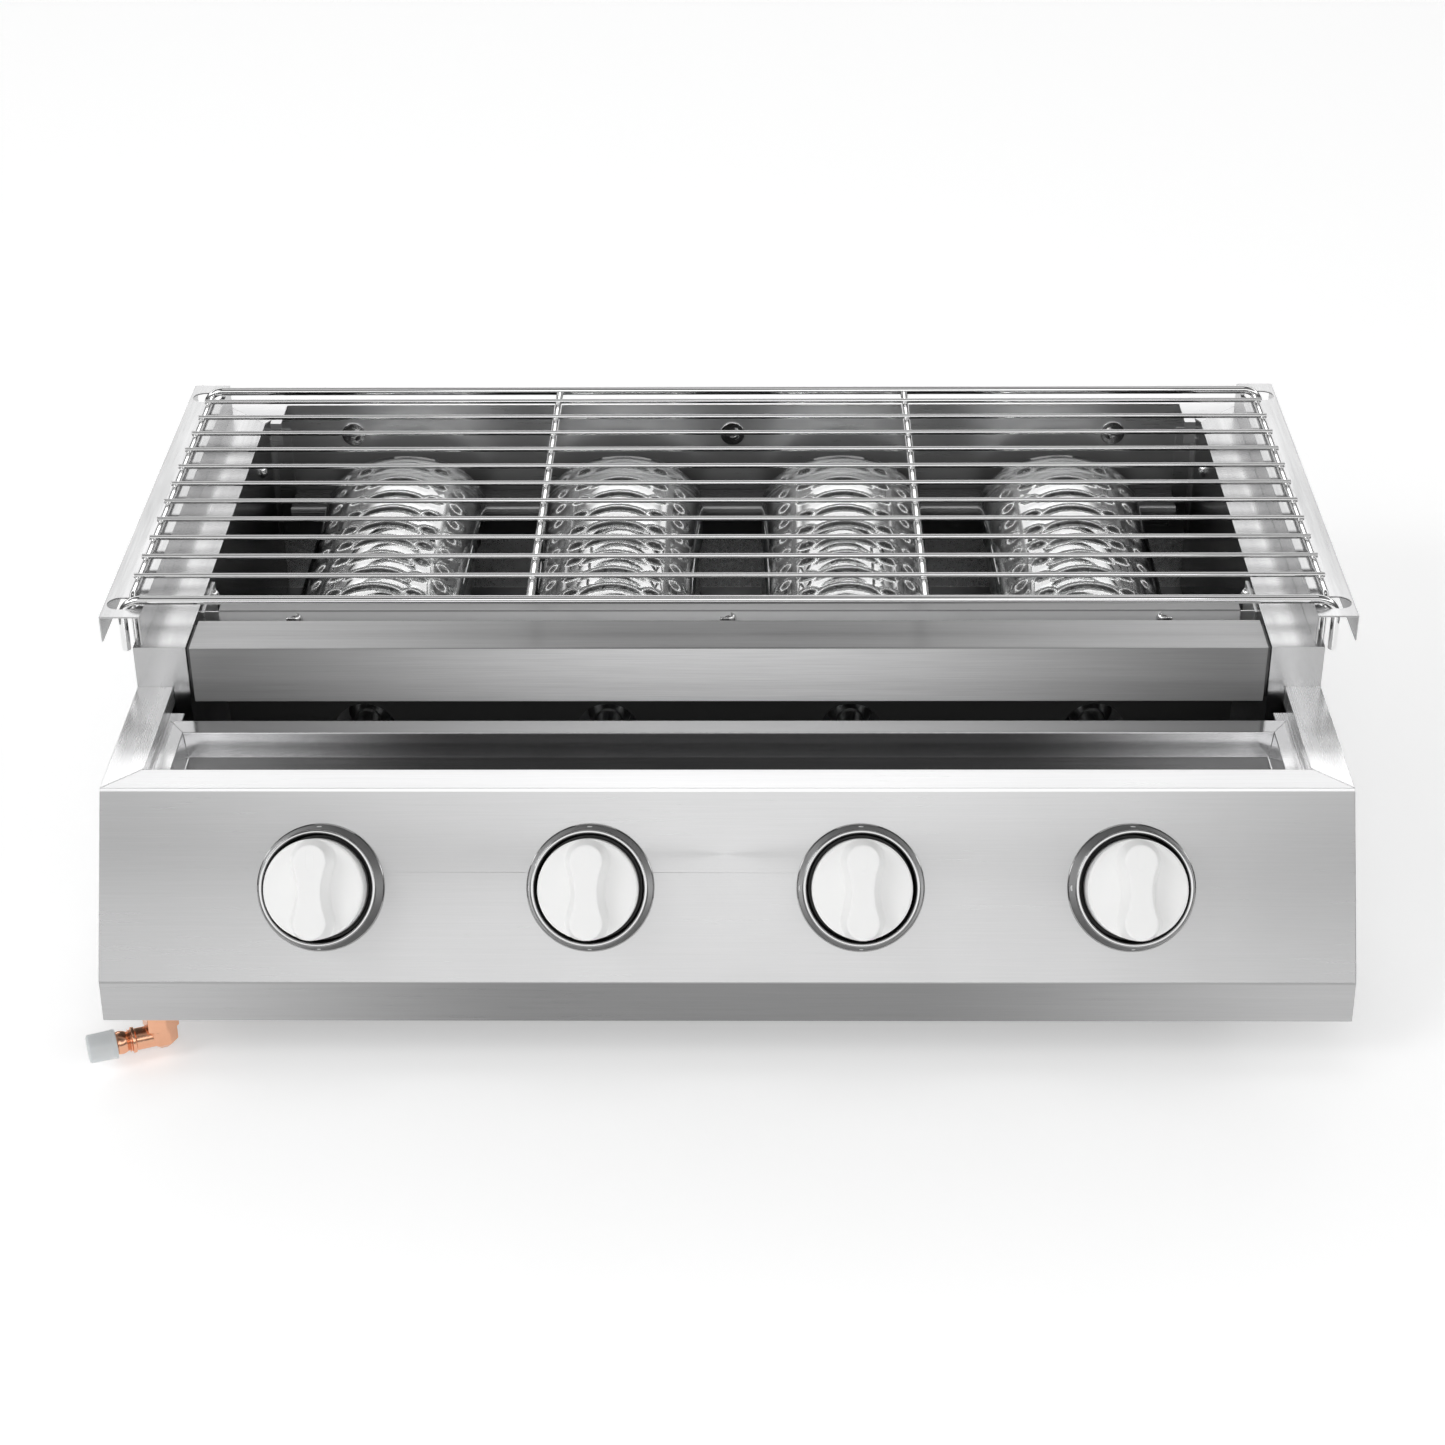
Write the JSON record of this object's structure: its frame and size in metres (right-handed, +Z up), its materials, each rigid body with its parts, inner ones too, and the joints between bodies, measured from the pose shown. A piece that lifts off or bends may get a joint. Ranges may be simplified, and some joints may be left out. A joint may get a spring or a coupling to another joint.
{
  "type": "gas barbecue grill",
  "caption": "Table-top gas barbecue grill: steel casing with sloped control face, dial knobs, drip tray, glass burner covers and a lift-off wire cooking grate.",
  "frame": {"origin": "on the ground, under the middle of the whole grill's outline", "axes": "+Z up, -Y to the front with the knobs, +X to the right seen from the front"},
  "size_m": [0.7576, 0.5584, 0.2101],
  "materials": {
    "brushed_steel": "horizontally brushed stainless steel",
    "polished_steel": "semi-polished stainless steel",
    "inner_steel": "plain mill-finish stainless sheet",
    "burner_steel": "matt stainless tube",
    "fastener_steel": "bright zinc-plated steel",
    "grate_chrome": "bright chrome-plated wire",
    "bezel_chrome": "bright chrome plating",
    "knob_plastic": "white satin plastic",
    "cover_glass": "clear pressed heat-proof glass",
    "brass": "machined rose brass",
    "cap_plastic": "milky translucent plastic",
    "rubber": "black moulded rubber"
  },
  "bodies": {
    "casing": {"front_panel": "brushed_steel", "side_panel_left": "brushed_steel", "side_panel_right": "brushed_steel", "base_pan": "inner_steel", "back_panel": "brushed_steel", "rubber_feet": "rubber", "foot_screws": "fastener_steel", "side_frame_left": "polished_steel", "side_frame_right": "polished_steel", "rear_wall": "inner_steel", "front_cross_bar": "polished_steel", "cross_bar_end_plates": "inner_steel", "corner_brackets": "inner_steel", "grate_rail_left": "polished_steel", "grate_rail_right": "polished_steel", "burner_box_front": "inner_steel", "glass_ledges": "inner_steel", "wall_screws": "fastener_steel", "wall_nuts": "fastener_steel", "wall_washers": "fastener_steel", "mixer_tubes": "burner_steel", "gas_valves": "brass", "gas_manifold": "inner_steel", "inlet_nut": "brass", "inlet_elbow": "brass", "burner_1": "burner_steel", "bezel_1": "bezel_chrome", "burner_2": "burner_steel", "bezel_2": "bezel_chrome", "burner_3": "burner_steel", "bezel_3": "bezel_chrome", "burner_4": "burner_steel", "bezel_4": "bezel_chrome"},
    "grate": {"grate_front_rod": "grate_chrome", "grate_rear_rod": "grate_chrome", "grate_side_rods": "grate_chrome", "grate_middle_rods": "grate_chrome", "grate_cross_wires": "grate_chrome"},
    "tray": {"drip_tray": "polished_steel"},
    "cap": {"inlet_cap": "cap_plastic"},
    "glass_1": {"glass_cover_1": "cover_glass"},
    "valve_1": {"valve_plug_1": "brass", "push_spring_1": "fastener_steel"},
    "knob_body_1": {"knob_1": "knob_plastic", "valve_stem_1": "fastener_steel"},
    "glass_2": {"glass_cover_2": "cover_glass"},
    "valve_2": {"valve_plug_2": "brass", "push_spring_2": "fastener_steel"},
    "knob_body_2": {"knob_2": "knob_plastic", "valve_stem_2": "fastener_steel"},
    "glass_3": {"glass_cover_3": "cover_glass"},
    "valve_3": {"valve_plug_3": "brass", "push_spring_3": "fastener_steel"},
    "knob_body_3": {"knob_3": "knob_plastic", "valve_stem_3": "fastener_steel"},
    "glass_4": {"glass_cover_4": "cover_glass"},
    "valve_4": {"valve_plug_4": "brass", "push_spring_4": "fastener_steel"},
    "knob_body_4": {"knob_4": "knob_plastic", "valve_stem_4": "fastener_steel"}
  },
  "joints": [
    {"name": "grate_lift", "type": "slide", "parent": "casing", "child": "grate", "axis": [0, 0, 1], "range_m": [0, 0.25]},
    {"name": "tray_lift", "type": "slide", "parent": "casing", "child": "tray", "axis": [0, 0, 1], "range_m": [0, 0.25]},
    {"name": "cap_pull", "type": "slide", "parent": "casing", "child": "cap", "axis": [-0.9336, -0.3584, 0], "range_m": [0, 0.04]},
    {"name": "glass_lift_1", "type": "slide", "parent": "casing", "child": "glass_1", "axis": [0, 0, 1], "range_m": [0, 0.04]},
    {"name": "glass_lift_2", "type": "slide", "parent": "casing", "child": "glass_2", "axis": [0, 0, 1], "range_m": [0, 0.04]},
    {"name": "glass_lift_3", "type": "slide", "parent": "casing", "child": "glass_3", "axis": [0, 0, 1], "range_m": [0, 0.04]},
    {"name": "glass_lift_4", "type": "slide", "parent": "casing", "child": "glass_4", "axis": [0, 0, 1], "range_m": [0, 0.04]},
    {"name": "knob_turn_1", "type": "hinge", "parent": "casing", "child": "valve_1", "pos_m": [-0.23205, -0.22728, 0.10727], "axis": [0, -0.8495, 0.5276], "range_deg": [0, 180]},
    {"name": "knob_push_1", "type": "slide", "parent": "valve_1", "child": "knob_body_1", "axis": [0, 0.8495, -0.5276], "range_m": [0, 0.004], "stiffness_N_per_m": 600, "springref_m": -0.004},
    {"name": "knob_turn_2", "type": "hinge", "parent": "casing", "child": "valve_2", "pos_m": [-0.07735, -0.22728, 0.10727], "axis": [0, -0.8495, 0.5276], "range_deg": [0, 180]},
    {"name": "knob_push_2", "type": "slide", "parent": "valve_2", "child": "knob_body_2", "axis": [0, 0.8495, -0.5276], "range_m": [0, 0.004], "stiffness_N_per_m": 600, "springref_m": -0.004},
    {"name": "knob_turn_3", "type": "hinge", "parent": "casing", "child": "valve_3", "pos_m": [0.07735, -0.22728, 0.10727], "axis": [0, -0.8495, 0.5276], "range_deg": [0, 180]},
    {"name": "knob_push_3", "type": "slide", "parent": "valve_3", "child": "knob_body_3", "axis": [0, 0.8495, -0.5276], "range_m": [0, 0.004], "stiffness_N_per_m": 600, "springref_m": -0.004},
    {"name": "knob_turn_4", "type": "hinge", "parent": "casing", "child": "valve_4", "pos_m": [0.23205, -0.22728, 0.10727], "axis": [0, -0.8495, 0.5276], "range_deg": [0, 180]},
    {"name": "knob_push_4", "type": "slide", "parent": "valve_4", "child": "knob_body_4", "axis": [0, 0.8495, -0.5276], "range_m": [0, 0.004], "stiffness_N_per_m": 600, "springref_m": -0.004}
  ]
}
